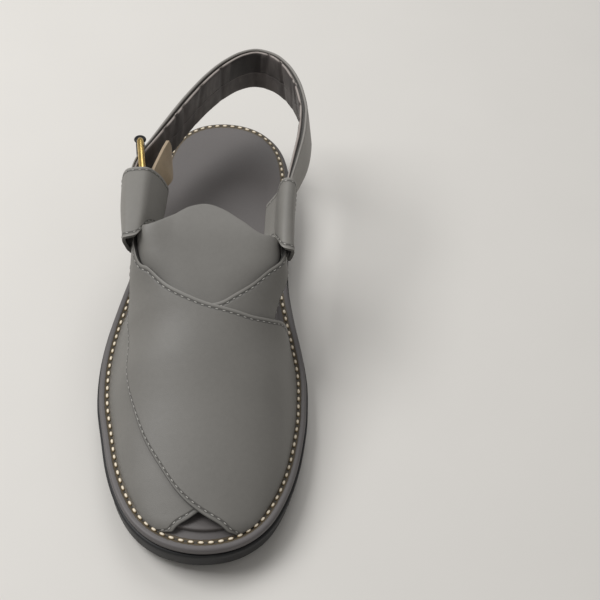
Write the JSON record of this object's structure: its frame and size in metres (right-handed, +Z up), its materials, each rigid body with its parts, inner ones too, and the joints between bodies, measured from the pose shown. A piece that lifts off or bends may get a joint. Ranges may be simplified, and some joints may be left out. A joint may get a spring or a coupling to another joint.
{
  "type": "leather sandal",
  "caption": "Right-foot leather sandal: two crossed panels over a tongue, a small open toe, a buckled heel strap through ankle sleeves, a stitched welt and a black rubber sole.",
  "frame": {"origin": "middle of the heel's flat tread, on the floor", "axes": "+Z up, -Y towards the toe, +X towards the inner side of the foot"},
  "size_m": [0.1102, 0.2908, 0.0927],
  "materials": {
    "grey_leather": "smooth matt warm grey",
    "footbed_leather": "smooth dark grey with a slight sheen",
    "welt_board": "smooth dark grey",
    "black_rubber": "matt black",
    "tan_suede": "tan flesh side, matt",
    "yellow_brass": "polished",
    "blackened_steel": "black satin"
  },
  "bodies": {
    "root": {"outsole": "black_rubber", "heel_block": "black_rubber", "midsole": "welt_board", "insole": "footbed_leather", "upper": "grey_leather", "tongue": "grey_leather", "ankle_loop_outer": "grey_leather", "ankle_loop_inner": "grey_leather", "heel_strap": "grey_leather", "strap_tail": "tan_suede", "buckle_frame": "yellow_brass", "buckle_roller": "blackened_steel"}
  },
  "joints": []
}
